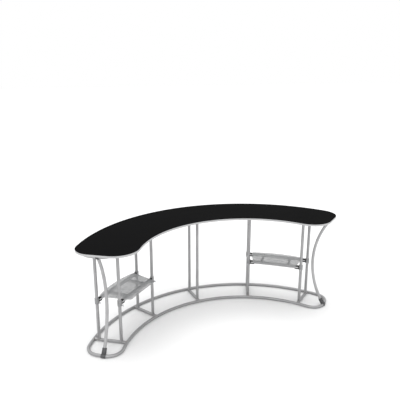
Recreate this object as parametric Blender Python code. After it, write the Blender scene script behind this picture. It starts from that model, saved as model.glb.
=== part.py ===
"""Crescent checkout counter: a two-tone worktop on a clamped aluminium tube frame.

Metres, +Z up. The crescent is two concentric arcs about the arc centre; the
public side faces +Y and the staff side, the hollow of the crescent, faces -Y.
The origin is on the floor under the middle of the worktop's outline.
"""
import math

import bmesh
import bpy
from mathutils import Matrix, Vector

# ---- driving dimensions ---------------------------------------------------
COUNTER_HEIGHT = 1.000          # floor to the top of the worktop
BOARD_THICKNESS = 0.018
EDGE_BAND = 0.002               # thickness of the edging round the boards
TOP_OUTER_RADIUS = 1.5753
TOP_INNER_RADIUS = 1.0000
TOP_END_OUTER = 64.88           # degrees, where the end line meets each arc
TOP_END_INNER = 71.06
TOP_OUTER_CORNER = 0.185       # corner radii of the worktop's ends
TOP_INNER_CORNER = 0.2161

TUBE = 0.030                    # outside diameter of every frame tube
TUBE_RADIUS = TUBE / 2
OUTER_OVERHANG = 0.0597         # worktop edge to the centre line of the outer rails
INNER_OVERHANG = 0.1844
RAIL_OUTER_RADIUS = TOP_OUTER_RADIUS - OUTER_OVERHANG
RAIL_INNER_RADIUS = TOP_INNER_RADIUS + INNER_OVERHANG
RAIL_END_OUTER = 63.17
RAIL_END_INNER = 66.64
RAIL_OUTER_CORNER = 0.1396
RAIL_INNER_CORNER = 0.1282
PAIR_ANGLES = (-54.0, -27.2, 0.0, 27.2, 54.0)
POST_OUTER_RADIUS = RAIL_OUTER_RADIUS - 0.0516   # arc radius at which the outer posts stand
POST_INNER_RADIUS = RAIL_INNER_RADIUS + 0.0556
HOOP_SPLICE = PAIR_ANGLES[-1] + 2.0              # degrees, where the end hoops join the rails
MIDDLE_SPLICE = 3.5             # degrees, where left and right rails join
SPIGOT_DIAMETER = TUBE - 0.006  # the swaged male end that enters the next tube
SPIGOT_LENGTH = 0.038

BRACE_BOW = 0.149               # how far the end braces bow inwards
BRACE_TURN = 5.6                # degrees, from square to the end line towards the public side
FOOT_CLIP_LENGTH = 0.072
FOOT_CLIP_DIAMETER = TUBE + 0.013
HEAD_CLIP_LENGTH = 0.026
HEAD_CLIP_DIAMETER = TUBE + 0.008
HEAD_PLUG_LENGTH = 0.032
CLIP_OPENING = 0.004            # a clip stops this far from the floor or the board

GAP = 0.0003                    # between parts that touch
COPE_GAP = 0.0005               # where a tube is shaped to another tube

COLLAR_DIAMETER = TUBE + 0.011
COLLAR_HEIGHT = 0.056
COLLAR_CLEARANCE = 0.0006       # radial, lets the collar slide on the post
JAW_PRONG = 0.010               # thickness of each prong
JAW_WIDTH = 0.024
JAW_REACH = 0.066               # from the post's axis to the prongs' tips
JAW_CLEARANCE = 0.0004          # under the shelf sheet
LUG_THICKNESS = 0.0164
LUG_WIDTH = 0.020
LUG_STEP = 0.001                # from a shelf bar's underside up to its lug's
BOSS_DIAMETER = 0.014
BOSS_REACH = TUBE_RADIUS + 0.014                 # from the post's axis to the boss's end
SCREW_DIAMETER = 0.006
SCREW_DROP = 0.017              # clamp screw below the collar's middle
SCREW_RUNNING_GAP = 0.0004
SCREW_HUB_DIAMETER = 0.010
SCREW_HUB_LENGTH = 0.010
WING_SPAN = 0.024
WING_LENGTH = 0.011
WING_THICKNESS = 0.0035

SHELF_LEVEL = 0.410             # underside of the shelf bars above the floor
SHELF_BAR_WIDTH = 0.025
SHELF_BAR_HEIGHT = LUG_STEP + LUG_THICKNESS + GAP + JAW_PRONG + JAW_CLEARANCE
SHELF_STAY_OFFSET = 0.148       # from the bay's middle to the middle of a stay
SHELF_SHEET = 0.005
SHELF_FRONT_RADIUS = POST_INNER_RADIUS - 0.095   # arc radii of the sheet's corners
SHELF_BACK_RADIUS = POST_OUTER_RADIUS + 0.001
SHELF_FRONT_BOW = 0.004
SHELF_BACK_BOW = 0.040
SHELF_END_GAP = 0.045           # from the plane of a post pair to the sheet's end
SHELF_CORNER = 0.028

TUBE_STEP = 5.0                 # degrees a segment along the big arcs
TUBE_FLAT = math.degrees(TUBE_RADIUS / RAIL_INNER_RADIUS)   # half of the straight bit at a joint
CORNER_STEPS = 7                # segments round each corner of a loop
BEVEL_SIDES = 4                 # bevel resolution: twelve-sided tubes
TUBE_FACES = 12
COPE_SIDES = 16                 # of a cut or collar that fits round a tube

ALUMINIUM = ((0.60, 0.60, 0.61), 0.34, 1.0)
BLACK_LAMINATE = ((0.012, 0.012, 0.013), 0.42, 0.0)
PALE_EDGE = ((0.60, 0.60, 0.61), 0.38, 0.0)
DARK_NYLON = ((0.075, 0.075, 0.080), 0.50, 0.0)
BLACK_NYLON = ((0.010, 0.010, 0.010), 0.45, 0.0)
FROSTED_GREY = ((0.50, 0.51, 0.52), 0.35, 0.0)
BRIGHT_STEEL = ((0.70, 0.70, 0.71), 0.25, 1.0)

BASE_LEVEL = TUBE_RADIUS
BOARD_UNDERSIDE = COUNTER_HEIGHT - BOARD_THICKNESS
TOP_LEVEL = BOARD_UNDERSIDE - GAP - TUBE_RADIUS
COLLAR_LEVEL = SHELF_LEVEL + LUG_STEP + LUG_THICKNESS / 2


# ---- scene and materials --------------------------------------------------
def start_scene():
    for old in list(bpy.data.objects):
        bpy.data.objects.remove(old, do_unlink=True)
    made = []
    for name in ("checkout_counter", "cutters"):
        collection = bpy.data.collections.new(name)
        bpy.context.scene.collection.children.link(collection)
        made.append(collection)
    return made


def finish_of(name, look):
    colour, roughness, metallic = look
    material = bpy.data.materials.new(name)
    material.use_nodes = True
    shader = material.node_tree.nodes["Principled BSDF"]
    shader.inputs["Base Color"].default_value = (*colour, 1.0)
    shader.inputs["Roughness"].default_value = roughness
    shader.inputs["Metallic"].default_value = metallic
    return material


PARTS, CUTTERS = start_scene()


# ---- plane geometry about the arc centre ----------------------------------
def on_circle(radius, degrees):
    angle = math.radians(degrees)
    return Vector((radius * math.sin(angle), radius * math.cos(angle)))


def arc_between(centre, start, stop, steps):
    """Points from start to stop round centre, the short way."""
    first, last = start - centre, stop - centre
    turn = math.atan2(first.x * last.y - first.y * last.x, first.dot(last))
    return [centre + Matrix.Rotation(turn * i / steps, 2) @ first for i in range(steps + 1)]


def corner_fillet(ring, side, corner, normal, radius):
    """Fillet of a ring (side -1 inside it, +1 outside it) with the end line through corner."""
    base = corner + normal * radius
    along = Vector((normal.y, -normal.x))
    half = base.dot(along)
    reach = ring + side * radius
    root = math.sqrt(half * half - base.length_squared + reach * reach)
    centre = min((base + along * (-half + root), base + along * (-half - root)),
                 key=lambda point: (point - corner).length)
    return centre, centre.normalized() * ring, centre - normal * radius


class Crescent:
    """Right half of a crescent outline: two arcs, an end line and two rounded corners."""

    def __init__(self, outer, inner, end_outer, end_inner, outer_corner, inner_corner, inset=0.0):
        far, near = on_circle(outer, end_outer), on_circle(inner, end_inner)
        line = (near - far).normalized()
        self.normal = Vector((line.y, -line.x))
        if self.normal.dot(far) > 0:
            self.normal.negate()
        far, near = far + self.normal * inset, near + self.normal * inset
        self.outer, self.inner = outer - inset, inner + inset
        self.far = corner_fillet(self.outer, -1, far, self.normal, outer_corner - inset)
        self.near = corner_fillet(self.inner, 1, near, self.normal, inner_corner - inset)

    def end_path(self, start, steps):
        """From the outer arc at one angle, round the end, to the inner arc at that angle."""
        path = [on_circle(self.outer, start), on_circle(self.outer, start + TUBE_FLAT)]
        path += arc_between(self.far[0], self.far[1], self.far[2], steps)
        path += arc_between(self.near[0], self.near[2], self.near[1], steps)
        path += [on_circle(self.inner, start + TUBE_FLAT), on_circle(self.inner, start)]
        return path

    def brace_seat(self):
        """Where the end line meets the inner corner, and its directions before and after."""
        turned = arc_between(self.near[0], self.near[2], self.near[1], CORNER_STEPS)
        return self.near[2], (self.near[2] - self.far[2]).normalized(), \
            (turned[1] - turned[0]).normalized()


def worktop_outline(inset):
    return Crescent(TOP_OUTER_RADIUS, TOP_INNER_RADIUS, TOP_END_OUTER, TOP_END_INNER,
                    TOP_OUTER_CORNER, TOP_INNER_CORNER, inset)


TOP_OUTLINE = worktop_outline(0.0)
RAILS = Crescent(RAIL_OUTER_RADIUS, RAIL_INNER_RADIUS, RAIL_END_OUTER, RAIL_END_INNER,
                 RAIL_OUTER_CORNER, RAIL_INNER_CORNER)
LOWEST_Y = TOP_OUTLINE.near[0].y - TOP_INNER_CORNER
ARC_CENTRE_Y = -(TOP_OUTER_RADIUS + LOWEST_Y) / 2


def placed(point, height):
    return Vector((point.x, point.y + ARC_CENTRE_Y, height))


def polar(radius, degrees, height):
    return placed(on_circle(radius, degrees), height)


def ring_angles(start, stop, flats):
    """Angles along an arc, with a short straight piece at each crossbar and at both ends."""
    marks = [start, start + TUBE_FLAT, stop - TUBE_FLAT, stop]
    for flat in flats:
        for edge in (flat - TUBE_FLAT, flat + TUBE_FLAT):
            if start < edge < stop:
                marks.append(edge)
    marks.sort()
    angles = [start]
    for low, high in zip(marks, marks[1:]):
        steps = max(1, math.ceil((high - low) / TUBE_STEP))
        angles += [low + (high - low) * (i + 1) / steps for i in range(steps)]
    return angles


def sector_angles(start, stop, step=4.5):
    steps = 2 * max(1, round(abs(stop - start) / step / 2))
    return [start + (stop - start) * i / steps for i in range(steps + 1)]


# ---- building blocks ------------------------------------------------------
def keep(obj, name, material):
    obj.name = name
    obj.data.name = name
    for owner in list(obj.users_collection):
        owner.objects.unlink(obj)
    PARTS.objects.link(obj)
    obj.data.materials.clear()
    obj.data.materials.append(material)
    return obj


def mesh_from_curve(curve_object):
    """The curve's solid as a mesh object with its caps welded."""
    bpy.context.view_layer.update()
    evaluated = curve_object.evaluated_get(bpy.context.evaluated_depsgraph_get())
    mesh = bpy.data.meshes.new_from_object(evaluated)
    solid = bpy.data.objects.new(curve_object.name + "_solid", mesh)
    solid.matrix_world = curve_object.matrix_world.copy()
    bpy.context.scene.collection.objects.link(solid)
    work = bmesh.new()
    work.from_mesh(mesh)
    bmesh.ops.remove_doubles(work, verts=work.verts, dist=0.00001)
    bmesh.ops.recalc_face_normals(work, faces=work.faces)
    work.to_mesh(mesh)
    work.free()
    bpy.data.objects.remove(curve_object, do_unlink=True)
    return solid


def tube_along(points, radius, closed_sides=BEVEL_SIDES):
    curve = bpy.data.curves.new("tube", "CURVE")
    curve.dimensions = "3D"
    curve.twist_mode = "MINIMUM"
    curve.bevel_depth = radius
    curve.bevel_resolution = closed_sides
    curve.use_fill_caps = True
    spline = curve.splines.new("POLY")
    spline.points.add(len(points) - 1)
    for slot, point in zip(spline.points, points):
        slot.co = (*point, 1.0)
    tube = bpy.data.objects.new("tube", curve)
    bpy.context.scene.collection.objects.link(tube)
    return mesh_from_curve(tube)


def plate(outlines, bottom, thickness, place=placed):
    """A flat plate from closed outlines in plan; outlines inside the first are openings."""
    curve = bpy.data.curves.new("plate", "CURVE")
    curve.dimensions = "2D"
    curve.fill_mode = "BOTH"
    curve.extrude = thickness / 2
    for outline in outlines:
        spline = curve.splines.new("POLY")
        spline.points.add(len(outline) - 1)
        for slot, point in zip(spline.points, outline):
            at = place(point, 0.0)
            slot.co = (at.x, at.y, 0.0, 1.0)
        spline.use_cyclic_u = True
    flat = bpy.data.objects.new("plate", curve)
    flat.location.z = bottom + thickness / 2
    bpy.context.scene.collection.objects.link(flat)
    return mesh_from_curve(flat)


def rod(start, stop, radius, sides=12):
    """A round bar between two points."""
    axis = stop - start
    bpy.ops.mesh.primitive_cylinder_add(vertices=sides, radius=radius, depth=axis.length)
    bar = bpy.context.object
    lean = axis.to_track_quat("Z", "Y").to_matrix().to_4x4()
    bar.matrix_world = Matrix.Translation((start + stop) / 2) @ lean
    return bar


def block(centre, along, size):
    """A box: size is (along, across, up), with its first side along a level direction."""
    bpy.ops.mesh.primitive_cube_add(size=1.0)
    box = bpy.context.object
    for vertex in box.data.vertices:
        vertex.co = Vector([part * side for part, side in zip(vertex.co, size)])
    turn = math.atan2(along.y, along.x)
    box.matrix_world = Matrix.Translation(centre) @ Matrix.Rotation(turn, 4, "Z")
    return box


def combine(target, other, operation):
    """Boolean with a helper body, applied at once; the helper goes."""
    modifier = target.modifiers.new(operation.lower(), "BOOLEAN")
    modifier.operation = operation
    modifier.solver = "EXACT"
    modifier.object = other
    bpy.context.view_layer.update()
    evaluated = target.evaluated_get(bpy.context.evaluated_depsgraph_get())
    mesh = bpy.data.meshes.new_from_object(evaluated)
    target.modifiers.clear()
    target.data = mesh
    bpy.data.objects.remove(other, do_unlink=True)
    return target


def cut(target, *cutters):
    for cutter in cutters:
        combine(target, cutter, "DIFFERENCE")
    return target


def fuse(target, *others):
    for other in others:
        combine(target, other, "UNION")
    return target


def origin_to(obj, point):
    """Moves the object's origin without moving its shape."""
    obj.data.transform(Matrix.Translation(-point) @ obj.matrix_world)
    obj.matrix_world = Matrix.Translation(point)
    return obj


def smooth(obj):
    obj.data.shade_smooth()
    obj.data.set_sharp_from_angle(angle=math.radians(40))
    return obj


def mirrored(point):
    return Vector((-point.x, point.y))


# ---- worktop --------------------------------------------------------------
def crescent_outline(inset):
    """The whole closed outline, both halves, moved in from the worktop's edge."""
    shape = worktop_outline(inset)
    far_angle = math.degrees(math.atan2(shape.far[1].x, shape.far[1].y))
    near_angle = math.degrees(math.atan2(shape.near[1].x, shape.near[1].y))
    end = arc_between(shape.far[0], shape.far[1], shape.far[2], 10)
    end += arc_between(shape.near[0], shape.near[2], shape.near[1], 14)
    outer = [on_circle(shape.outer, a) for a in sector_angles(-far_angle, far_angle)[1:-1]]
    inner = [on_circle(shape.inner, a) for a in sector_angles(near_angle, -near_angle)[1:-1]]
    return outer + end + inner + [mirrored(point) for point in end[::-1]]


def build_worktop():
    laminate = finish_of("black_laminate", BLACK_LAMINATE)
    edging = finish_of("pale_edging", PALE_EDGE)
    board = plate([crescent_outline(EDGE_BAND + GAP)], BOARD_UNDERSIDE, BOARD_THICKNESS)
    keep(board, "worktop_board", laminate)
    band = plate([crescent_outline(0.0), crescent_outline(EDGE_BAND)], BOARD_UNDERSIDE,
                 BOARD_THICKNESS)
    keep(band, "worktop_edging", edging)


# ---- frame ----------------------------------------------------------------
def splice_rod(radius, degrees, height, towards, length, radial):
    """Straight rod from inside a tube's end, past its splice by length, along the loop.

    towards is +1 when the rod runs on to larger angles and -1 when it runs back.
    """
    start = polar(radius, degrees, height)
    turn = math.radians(degrees)
    tangent = Vector((math.cos(turn), -math.sin(turn), 0.0)) * towards
    return rod(start - tangent * SPIGOT_LENGTH / 2, start + tangent * length, radial)


def add_spigot(tube, radius, degrees, height, towards):
    return fuse(tube, splice_rod(radius, degrees, height, towards, SPIGOT_LENGTH,
                                 SPIGOT_DIAMETER / 2))


def add_socket(tube, radius, degrees, height, towards):
    return cut(tube, splice_rod(radius, degrees, height, towards, SPIGOT_LENGTH + COPE_GAP,
                                SPIGOT_DIAMETER / 2 + GAP))


def build_rail(name, radius, start, stop, height, metal):
    trim = math.degrees(COPE_GAP / 2 / radius)
    angles = ring_angles(start + trim, stop - trim, PAIR_ANGLES)
    rail = tube_along([polar(radius, angle, height) for angle in angles], TUBE_RADIUS)
    add_socket(rail, radius, start, height, 1)
    if stop == MIDDLE_SPLICE:
        add_spigot(rail, radius, stop, height, 1)
    else:
        add_socket(rail, radius, stop, height, -1)
    keep(smooth(rail), name, metal)


def build_hoop(name, sign, height, metal):
    trim = math.degrees(COPE_GAP / 2 / RAIL_INNER_RADIUS)
    path = RAILS.end_path(HOOP_SPLICE + trim, CORNER_STEPS)
    if sign < 0:
        path = [mirrored(point) for point in path]
    hoop = tube_along([placed(point, height) for point in path], TUBE_RADIUS)
    for radius in (RAIL_OUTER_RADIUS, RAIL_INNER_RADIUS):
        add_spigot(hoop, radius, sign * HOOP_SPLICE, height, -sign)
    keep(smooth(hoop), name, metal)


def build_crossbar(name, angle, height, metal):
    bar = rod(polar(RAIL_INNER_RADIUS, angle, height), polar(RAIL_OUTER_RADIUS, angle, height),
              TUBE_RADIUS)
    tangent = Vector((math.cos(math.radians(angle)), -math.sin(math.radians(angle)), 0.0)) * TUBE
    for radius in (RAIL_INNER_RADIUS, RAIL_OUTER_RADIUS):
        middle = polar(radius, angle, height)
        cut(bar, rod(middle - tangent, middle + tangent, TUBE_RADIUS + COPE_GAP, COPE_SIDES))
    keep(smooth(bar), name, metal)


def build_post(name, radius, angle, metal):
    post = rod(polar(radius, angle, BASE_LEVEL), polar(radius, angle, TOP_LEVEL), TUBE_RADIUS)
    outward = polar(1.0, angle, 0.0) - polar(0.0, angle, 0.0)
    for height in (BASE_LEVEL, TOP_LEVEL):
        middle = polar(radius, angle, height)
        cut(post, rod(middle - outward * TUBE, middle + outward * TUBE, TUBE_RADIUS + COPE_GAP, COPE_SIDES))
    keep(smooth(post), name, metal)


def build_frame():
    metal = finish_of("satin_aluminium", ALUMINIUM)
    for level, height in (("base", BASE_LEVEL), ("top", TOP_LEVEL)):
        for line, radius in (("outer", RAIL_OUTER_RADIUS), ("inner", RAIL_INNER_RADIUS)):
            stem = level + "_rail_" + line
            build_rail(stem + "_left", radius, -HOOP_SPLICE, MIDDLE_SPLICE, height, metal)
            build_rail(stem + "_right", radius, MIDDLE_SPLICE, HOOP_SPLICE, height, metal)
        build_hoop(level + "_end_hoop_left", -1, height, metal)
        build_hoop(level + "_end_hoop_right", 1, height, metal)
        for number, angle in enumerate(PAIR_ANGLES, 1):
            build_crossbar(f"{level}_crossbar_{number}", angle, height, metal)
    for number, angle in enumerate(PAIR_ANGLES, 1):
        build_post(f"post_outer_{number}", POST_OUTER_RADIUS, angle, metal)
        build_post(f"post_inner_{number}", POST_INNER_RADIUS, angle, metal)


# ---- end braces and their clips -------------------------------------------
class Brace:
    """Bowed tube in an upright plane, seated where the end line meets the inner corner."""

    def __init__(self, sign):
        seat, before, after = RAILS.brace_seat()
        inwards = Matrix.Rotation(math.radians(-BRACE_TURN), 2) @ RAILS.normal
        self.seat_path = [seat - before * FOOT_CLIP_DIAMETER / 2, seat,
                          seat + after * FOOT_CLIP_DIAMETER / 2]
        if sign < 0:
            seat, inwards = mirrored(seat), mirrored(inwards)
            self.seat_path = [mirrored(point) for point in self.seat_path]
        self.foot = placed(seat, BASE_LEVEL)
        self.inwards = Vector((inwards.x, inwards.y, 0.0))
        self.chord = TOP_LEVEL - BASE_LEVEL
        self.radius = self.chord ** 2 / (8 * BRACE_BOW) + BRACE_BOW / 2
        self.half_turn = math.asin(self.chord / 2 / self.radius)

    def round_rail(self, height, diameter, share):
        """A rod bent with the loop about the seat; share of the foot clip's width."""
        first, seat, last = (placed(point, height) for point in self.seat_path)
        path = [seat.lerp(first, share), seat, seat.lerp(last, share)]
        return tube_along(path, diameter / 2 / math.cos(math.pi / TUBE_FACES))

    def at(self, distance):
        """Point at a distance along the arc from the base loop's centre line."""
        angle = self.half_turn - distance / self.radius
        height = self.chord / 2 - self.radius * math.sin(angle)
        bow = self.radius * (math.cos(angle) - math.cos(self.half_turn))
        return self.foot + self.inwards * bow + Vector((0.0, 0.0, height))

    def length(self):
        return 2 * self.half_turn * self.radius

    def run(self, start, stop, steps):
        return [self.at(start + (stop - start) * i / steps) for i in range(steps + 1)]


def build_braces():
    metal = finish_of("brace_aluminium", ALUMINIUM)
    nylon = finish_of("dark_nylon", DARK_NYLON)
    bore = TUBE + 2 * COPE_GAP
    for place, sign in (("left", -1), ("right", 1)):
        brace = Brace(sign)
        first = TUBE_RADIUS + 4 * COPE_GAP
        last = brace.length() - HEAD_CLIP_DIAMETER / 2 - GAP - COPE_GAP
        tube = tube_along(brace.run(first, last, 22), TUBE_RADIUS)
        plug_start, plug_stop = last - HEAD_PLUG_LENGTH, brace.length() - TUBE_RADIUS - COPE_GAP
        socket = [brace.at(plug_start - GAP), brace.at(brace.length() - TUBE_RADIUS)]
        cut(tube, rod(*socket, SPIGOT_DIAMETER / 2 + COPE_GAP))
        keep(smooth(tube), "end_brace_" + place, metal)

        opening = Vector((0.0, 0.0, CLIP_OPENING - TUBE / 2))
        foot = tube_along(brace.run(0.0, FOOT_CLIP_LENGTH, 4), FOOT_CLIP_DIAMETER / 2)
        fuse(foot, brace.round_rail(BASE_LEVEL, FOOT_CLIP_DIAMETER, 1.0))
        cut(foot,
            block(Vector((brace.foot.x, brace.foot.y, 0.0)) + opening, brace.inwards,
                  (4 * TUBE, 4 * TUBE, TUBE)),
            brace.round_rail(BASE_LEVEL, bore, 1.9),
            tube_along(brace.run(0.0, FOOT_CLIP_LENGTH * 4 / 3, 6),
                       (TUBE_RADIUS + COPE_GAP) / math.cos(math.pi / TUBE_FACES)))
        keep(smooth(foot), "brace_foot_clip_" + place, nylon)

        head = brace.round_rail(TOP_LEVEL, HEAD_CLIP_DIAMETER * math.cos(math.pi / TUBE_FACES),
                                HEAD_CLIP_LENGTH / FOOT_CLIP_DIAMETER)
        fuse(head, rod(brace.at(plug_start), brace.at(plug_stop), SPIGOT_DIAMETER / 2))
        cut(head,
            block(Vector((brace.foot.x, brace.foot.y, BOARD_UNDERSIDE)) - opening, brace.inwards,
                  (4 * TUBE, 4 * TUBE, TUBE)),
            brace.round_rail(TOP_LEVEL, bore, 1.9))
        keep(smooth(head), "brace_head_clip_" + place, nylon)


# ---- shelves --------------------------------------------------------------
class Shelf:
    """Plan of one shelf between two post pairs: u runs along it, v from front to back."""

    def __init__(self, first, second):
        self.pairs = (first, second)
        middle = (first + second) / 2

        def corner(radius, pair):
            lean = math.degrees(math.asin(SHELF_END_GAP / radius))
            return on_circle(radius, pair + math.copysign(lean, middle - pair))

        self.front = [corner(SHELF_FRONT_RADIUS, pair) for pair in self.pairs]
        self.back = [corner(SHELF_BACK_RADIUS, pair) for pair in self.pairs]
        self.outward = on_circle(1.0, middle)
        self.along = Vector((self.outward.y, -self.outward.x))
        self.length = (self.back[1] - self.back[0]).length

    def at(self, u, v):
        bow = 4 * u * (1 - u)
        front = self.front[0].lerp(self.front[1], u) + self.outward * SHELF_FRONT_BOW * bow
        back = self.back[0].lerp(self.back[1], u) + self.outward * SHELF_BACK_BOW * bow
        return front.lerp(back, v)

    def outline(self):
        """The sheet's closed outline with its four corners rounded."""
        steps = max(1, round(self.length / (2 * SHELF_CORNER)))
        run = [i / steps for i in range(steps + 1)]
        sharp = [self.at(u, 0.0) for u in run] + [self.at(u, 1.0) for u in run[::-1]]
        corners = {0, steps, steps + 1, 2 * steps + 1}
        outline = []
        for index, point in enumerate(sharp):
            if index in corners:
                outline += rounded(sharp[index - 1], point, sharp[(index + 1) % len(sharp)],
                                   SHELF_CORNER)
            else:
                outline.append(point)
        return outline


def rounded(before, point, after, radius, steps=4):
    """A corner replaced by an arc that meets both of its sides."""
    first, second = (before - point).normalized(), (after - point).normalized()
    half = first.angle(second) / 2
    back = radius / math.tan(half)
    centre = point + (first + second).normalized() * (radius / math.sin(half))
    return arc_between(centre, point + first * back, point + second * back, steps)


def build_clamp(post, towards, inward, stem, nylon, steel):
    """Collar with its jaw, and the screw; towards the shelf and inward to the staff side."""
    up = Vector((0.0, 0.0, 1.0))
    middle = Vector((post.x, post.y, COLLAR_LEVEL))
    half = up * COLLAR_HEIGHT / 2
    clamp = rod(middle - half, middle + half, COLLAR_DIAMETER / 2, COPE_SIDES)
    screw_line = middle - up * SCREW_DROP
    reach = JAW_REACH
    jaw_height = LUG_THICKNESS + 2 * GAP + 2 * JAW_PRONG
    slot_start = COLLAR_DIAMETER / 2 + JAW_PRONG / 2
    fuse(clamp, block(middle + towards * reach / 2, towards, (reach, JAW_WIDTH, jaw_height)),
         rod(screw_line, screw_line + inward * BOSS_REACH, BOSS_DIAMETER / 2))
    cut(clamp, block(middle + towards * (slot_start + reach / 2), towards,
                     (reach, 2 * JAW_WIDTH, LUG_THICKNESS + 2 * GAP)),
        rod(middle - 2 * half, middle + 2 * half,
            (TUBE_RADIUS + COLLAR_CLEARANCE) / math.cos(math.pi / COPE_SIDES), COPE_SIDES),
        rod(screw_line, screw_line + inward * 2 * BOSS_REACH,
            SCREW_DIAMETER / 2 + SCREW_RUNNING_GAP))
    keep(smooth(clamp), stem, nylon)

    tip = screw_line + inward * (TUBE_RADIUS + COLLAR_CLEARANCE / 2)
    hub = screw_line + inward * (BOSS_REACH + GAP)
    end = hub + inward * SCREW_HUB_LENGTH
    screw = rod(tip, end, SCREW_DIAMETER / 2)
    fuse(screw, rod(hub, end, SCREW_HUB_DIAMETER / 2),
         block(end + inward * (WING_LENGTH / 2 - SCREW_HUB_LENGTH / 2), inward,
               (WING_LENGTH, WING_THICKNESS, WING_SPAN)))
    keep(smooth(origin_to(screw, screw_line)), stem.replace("clamp", "screw"), steel)


def build_shelf(place, shelf, materials):
    sheet, frame_metal, nylon, steel = materials
    middle = SHELF_LEVEL + SHELF_BAR_HEIGHT / 2
    inward = -Vector((*shelf.outward, 0.0))
    lines, pieces = [], []
    for side, radius in (("back", POST_OUTER_RADIUS), ("front", POST_INNER_RADIUS)):
        posts = [polar(radius, pair, middle) for pair in shelf.pairs]
        along = (posts[1] - posts[0]).normalized()
        bar = (posts[1] - posts[0]).length - 2 * (JAW_REACH + GAP)
        lines.append((posts[0] + posts[1]) / 2)
        pieces.append(block(lines[-1], along, (bar, SHELF_BAR_WIDTH, SHELF_BAR_HEIGHT)))
        start, stop = COLLAR_DIAMETER / 2 + JAW_PRONG / 2 + GAP, JAW_REACH + SHELF_BAR_WIDTH
        for post, pair, towards in zip(posts, shelf.pairs, (along, -along)):
            end = "outer" if abs(pair) == max(map(abs, shelf.pairs)) else "inner"
            build_clamp(post, towards, inward, f"shelf_{place}_clamp_{end}_{side}", nylon, steel)
            lug = Vector((post.x, post.y, COLLAR_LEVEL)) + towards * (start + stop) / 2
            pieces.append(block(lug, towards, (stop - start, LUG_WIDTH, LUG_THICKNESS)))
    along = Vector((*shelf.along, 0.0))
    stay = (lines[0] - lines[1]).length
    for offset in (-SHELF_STAY_OFFSET, SHELF_STAY_OFFSET):
        pieces.append(block((lines[0] + lines[1]) / 2 + along * offset, inward,
                            (stay, SHELF_BAR_WIDTH, SHELF_BAR_HEIGHT - 2 * LUG_STEP)))
    frame = pieces[0]
    fuse(frame, *pieces[5:], pieces[3], *pieces[1:3], pieces[4])
    keep(frame, f"shelf_{place}_frame", frame_metal)
    panel = plate([shelf.outline()], SHELF_LEVEL + SHELF_BAR_HEIGHT + GAP, SHELF_SHEET)
    keep(panel, f"shelf_{place}_panel", sheet)


def build_shelves():
    materials = (finish_of("frosted_sheet", FROSTED_GREY), finish_of("shelf_aluminium", ALUMINIUM),
                 finish_of("black_nylon", BLACK_NYLON), finish_of("screw_steel", BRIGHT_STEEL))
    build_shelf("left", Shelf(PAIR_ANGLES[0], PAIR_ANGLES[1]), materials)
    build_shelf("right", Shelf(PAIR_ANGLES[3], PAIR_ANGLES[4]), materials)


build_worktop()
build_frame()
build_braces()
build_shelves()
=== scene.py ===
import math

import bmesh
import bpy
import numpy as np
from mathutils import Matrix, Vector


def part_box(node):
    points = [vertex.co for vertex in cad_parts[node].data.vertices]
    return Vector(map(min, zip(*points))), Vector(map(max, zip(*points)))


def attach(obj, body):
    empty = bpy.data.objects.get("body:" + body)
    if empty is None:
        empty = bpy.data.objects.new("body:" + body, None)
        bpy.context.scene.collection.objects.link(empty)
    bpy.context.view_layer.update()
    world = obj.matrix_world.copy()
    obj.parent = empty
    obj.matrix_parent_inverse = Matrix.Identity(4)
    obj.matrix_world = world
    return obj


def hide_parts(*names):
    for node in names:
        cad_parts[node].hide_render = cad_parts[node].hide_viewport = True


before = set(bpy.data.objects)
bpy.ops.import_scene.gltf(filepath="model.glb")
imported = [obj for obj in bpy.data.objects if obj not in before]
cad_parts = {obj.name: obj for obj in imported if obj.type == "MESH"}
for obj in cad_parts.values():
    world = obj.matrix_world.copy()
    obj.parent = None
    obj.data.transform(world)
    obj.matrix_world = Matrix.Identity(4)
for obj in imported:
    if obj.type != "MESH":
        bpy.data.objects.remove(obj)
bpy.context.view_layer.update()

# Metres, z up. The crescent's two arcs share one centre; the public side faces +y and
# the staff side -y. Levels are read from the frame, plan sizes are the counter's own.
counter = {
    "outerRadius": 1.5753, "innerRadius": 1.0, "endOuter": 64.88, "endInner": 71.06,
    "outerCorner": 0.185, "innerCorner": 0.2161, "band": 0.002,
    "pairs": (-54.0, -27.2, 0.0, 27.2, 54.0),
}
loop = {
    "outer": 1.5156, "inner": 1.1844, "endOuter": 63.17, "endInner": 66.64,
    "outerCorner": 0.1396, "innerCorner": 0.1282, "tube": 0.015, "hoopSplice": 56.0,
    "middleSplice": 3.5, "spigot": 0.012, "spigotLength": 0.038, "seam": 0.00025, "slack": 0.0003,
    "ease": 0.0006, "spare": 0.06, "sides": 40,
}
boardLow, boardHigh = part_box("worktop_board")
boardUnder, boardTop = boardLow.z, boardHigh.z
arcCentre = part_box("worktop_edging")[1].y - counter["outerRadius"]
baseLevel = loop["tube"]
topLevel = boardUnder - loop["slack"] - loop["tube"]
up = np.array([0.0, 0.0, 1.0])


# Plan geometry: angles in degrees from +y, clockwise
def circle(radius, degrees):
    turn = np.radians(degrees)
    return np.stack(np.broadcast_arrays(radius * np.sin(turn), radius * np.cos(turn)), -1)


def placed(points, level):
    # plan points about the arc centre, lifted to a level
    points = np.asarray(points, float)
    height = np.broadcast_to(level, points.shape[:-1])
    return np.stack([points[..., 0], points[..., 1] + arcCentre, height], -1)


def polar(radius, degrees, level):
    return placed(circle(radius, degrees), level)


def unit(vector):
    return vector / np.linalg.norm(vector, axis=-1, keepdims=True)


def level3(direction):
    # a plan direction as a level one in space
    return np.array([direction[0], direction[1], 0.0])


def fullTurn(count):
    return np.linspace(0, 2 * math.pi, count, endpoint=False)


def rim(turn, radius=1.0):
    # points of a circle, anticlockwise from the first axis
    return radius * np.stack([np.cos(turn), np.sin(turn)], -1)


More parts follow.
